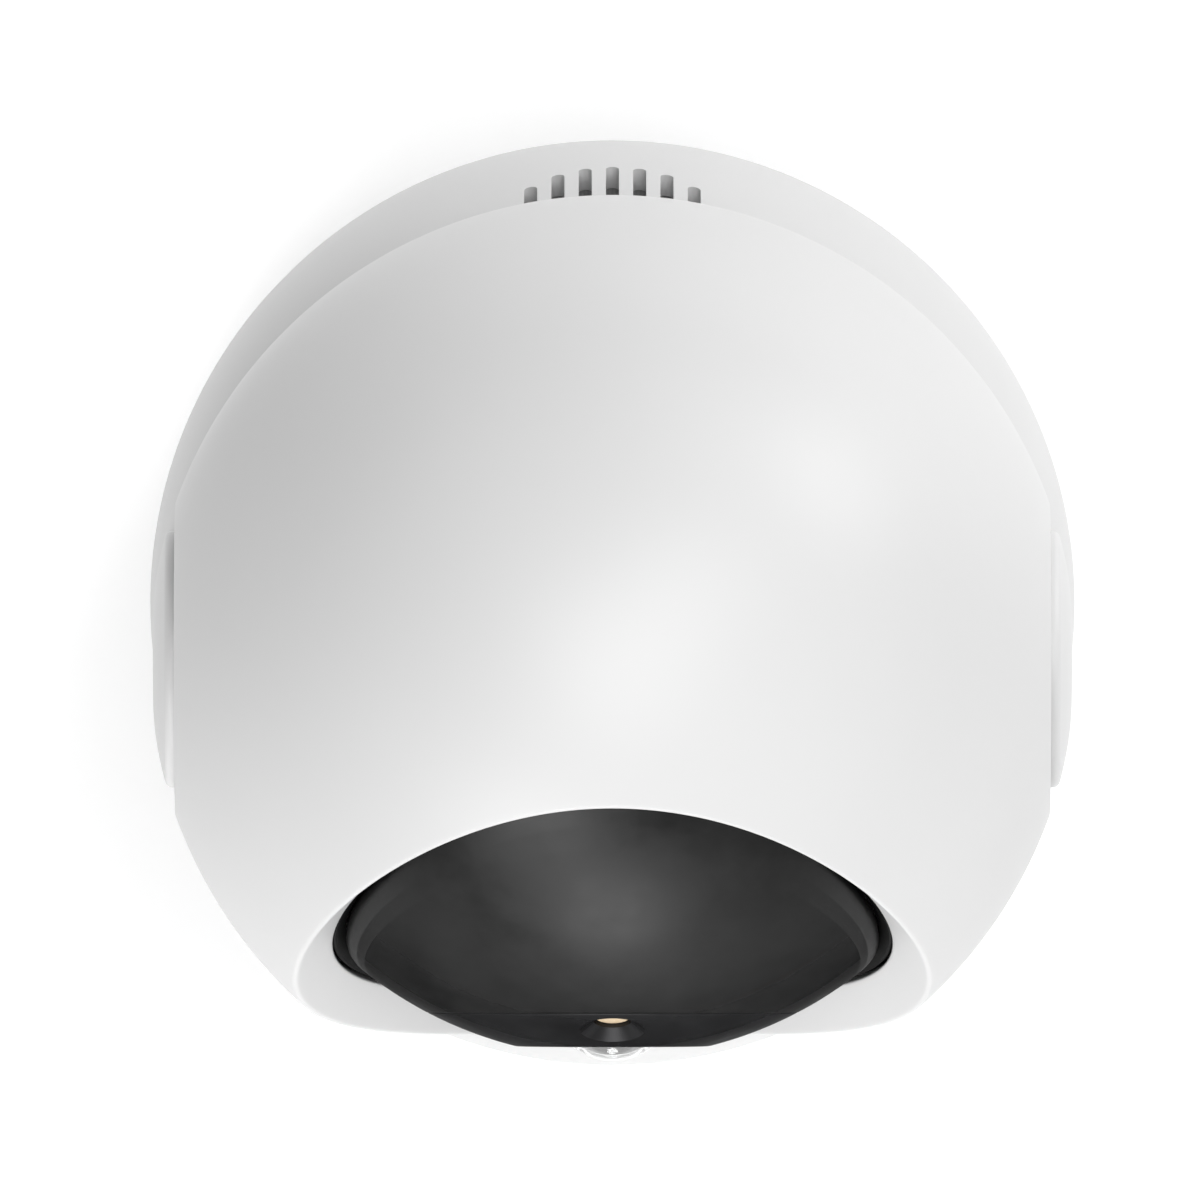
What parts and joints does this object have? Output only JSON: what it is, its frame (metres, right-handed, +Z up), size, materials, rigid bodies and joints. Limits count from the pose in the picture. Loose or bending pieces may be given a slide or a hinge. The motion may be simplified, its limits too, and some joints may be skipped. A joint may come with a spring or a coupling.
{
  "type": "security camera",
  "caption": "Desk security camera: a white ball head with a glossy black face tilts between the arms of a round body, which pans on a round base.",
  "frame": {"origin": "middle of the base's underside, on the surface it stands on and on the pan axis", "axes": "+Z up along the pan axis, the lens looks along -Y at rest, +X to the camera's left as it looks"},
  "size_m": [0.0872, 0.0872, 0.1177],
  "materials": {
    "white_plastic": "fine satin, moulded",
    "grey_plastic": "moulded",
    "black_gloss": "polished",
    "black_matt": "moulded",
    "clear_glass": "polished",
    "gold_cell": "satin",
    "circuit_board": "solder mask",
    "steel": "plated",
    "bearing_plastic": "moulded",
    "rubber": "moulded"
  },
  "bodies": {
    "base": {"foot_ring": "rubber", "base_plate": "grey_plastic", "base_housing": "white_plastic", "base_screw_1": "steel", "base_screw_2": "steel", "base_screw_3": "steel", "power_board": "circuit_board", "power_inlet": "steel", "pan_shaft": "bearing_plastic", "pan_gear": "bearing_plastic", "gear_clip": "steel"},
    "pan_body": {"body_shell": "white_plastic", "body_floor": "grey_plastic", "pan_washer": "bearing_plastic", "floor_screw_1": "steel", "floor_screw_2": "steel", "floor_screw_3": "steel", "cradle_bowl": "white_plastic", "main_board": "circuit_board", "speaker": "black_matt", "pan_motor": "steel", "tilt_axle_left": "steel", "tilt_axle_right": "steel", "tilt_gear": "bearing_plastic"},
    "pan_pinion": {"pan_pinion": "bearing_plastic"},
    "head": {"head_shell": "white_plastic", "head_rear_cover": "white_plastic", "cover_screw_1": "steel", "cover_screw_2": "steel", "bezel_ring": "black_matt", "face_cover": "black_gloss", "lens_window": "black_gloss", "light_sensor": "gold_cell", "lens_glass": "clear_glass", "lens_barrel": "black_matt", "lens_holder": "black_matt", "sensor_board": "circuit_board", "ir_board": "circuit_board", "ir_led_1": "clear_glass", "ir_led_2": "clear_glass", "ir_led_3": "clear_glass", "ir_led_4": "clear_glass", "ir_led_5": "clear_glass", "ir_led_6": "clear_glass", "head_chassis": "black_matt", "head_board": "circuit_board", "microphone": "steel", "wifi_antenna": "circuit_board", "tilt_motor": "steel", "tilt_bush_left": "bearing_plastic", "tilt_bush_right": "bearing_plastic", "sd_socket": "steel"},
    "tilt_pinion": {"tilt_pinion": "bearing_plastic"},
    "reset_button": {"reset_button": "black_matt"}
  },
  "joints": [
    {"name": "pan", "type": "hinge", "parent": "base", "child": "pan_body", "pos_m": [0, 0, 0.0113], "axis": [0, 0, 1], "range_deg": [-170, 170]},
    {"name": "pan_pinion_spin", "type": "hinge", "parent": "pan_body", "child": "pan_pinion", "pos_m": [-0.024, 0, 0.01675], "axis": [0, 0, 1], "range_deg": [-515, 515]},
    {"name": "tilt", "type": "hinge", "parent": "pan_body", "child": "head", "pos_m": [0, -0.0053, 0.0743], "axis": [-1, 0, 0], "range_deg": [-20, 70]},
    {"name": "tilt_pinion_spin", "type": "hinge", "parent": "head", "child": "tilt_pinion", "pos_m": [-0.033, 0.00601, 0.06299], "axis": [-1, 0, 0], "range_deg": [-65, 215]},
    {"name": "reset_button_press", "type": "slide", "parent": "head", "child": "reset_button", "axis": [0, 0.5592, 0.829], "range_m": [0, 0.0005], "stiffness_N_per_m": 400}
  ],
  "couplings": [
    {"joint": "pan_pinion_spin", "follows": "pan", "ratio": 3},
    {"joint": "tilt_pinion_spin", "follows": "tilt", "ratio": 3}
  ]
}
